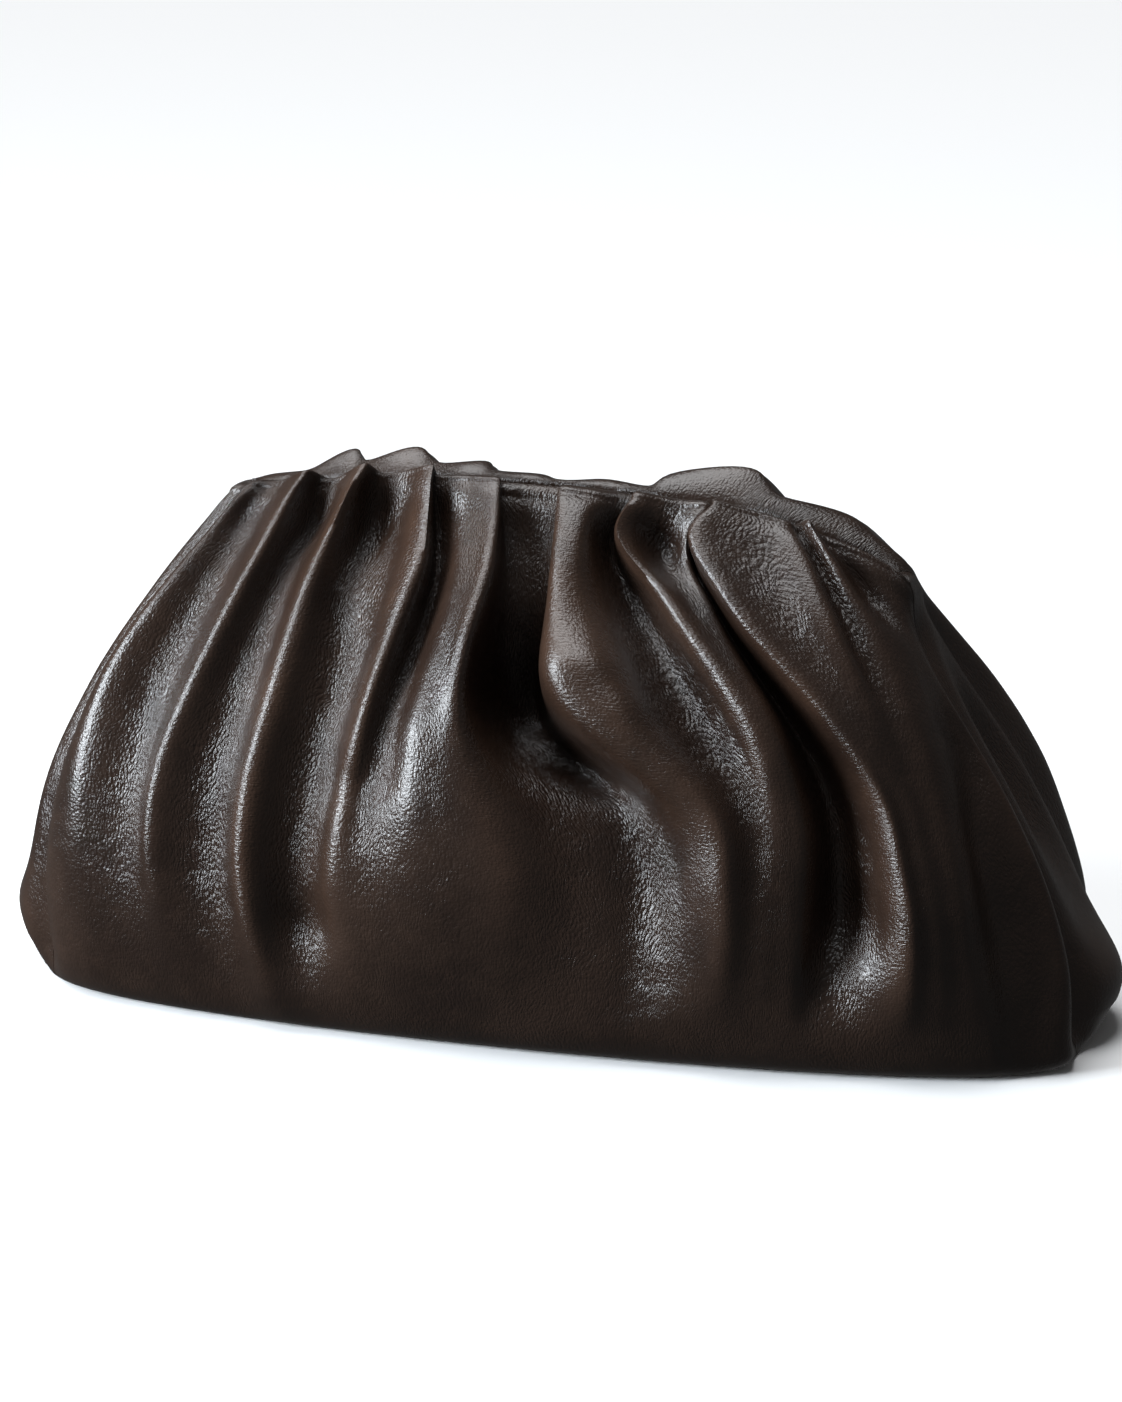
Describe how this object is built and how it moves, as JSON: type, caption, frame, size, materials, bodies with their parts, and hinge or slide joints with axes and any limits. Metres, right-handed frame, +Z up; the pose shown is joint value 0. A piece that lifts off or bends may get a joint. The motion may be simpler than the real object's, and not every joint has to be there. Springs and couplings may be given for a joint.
{
  "type": "gathered pouch bag",
  "caption": "Soft leather clutch: a full rounded body gathered into folds along a straight closed mouth, with side gussets and a flat base to stand on",
  "frame": {"origin": "middle of the base panel's flat underside, on the surface that the bag stands on", "axes": "+X along the bag's length towards its right end as seen from the front, +Y towards the back, +Z up"},
  "size_m": [0.3972, 0.1681, 0.1919],
  "materials": {
    "brown_leather": "satin-gloss calf leather with a fine wrinkled grain, very dark brown",
    "base_leather": "matt leather, very dark brown",
    "frame_steel": "brushed"
  },
  "bodies": {
    "root": {"front_panel": "brown_leather", "back_panel": "brown_leather", "left_gusset": "brown_leather", "right_gusset": "brown_leather", "base_panel": "base_leather", "mouth_frame": "frame_steel"}
  },
  "joints": []
}
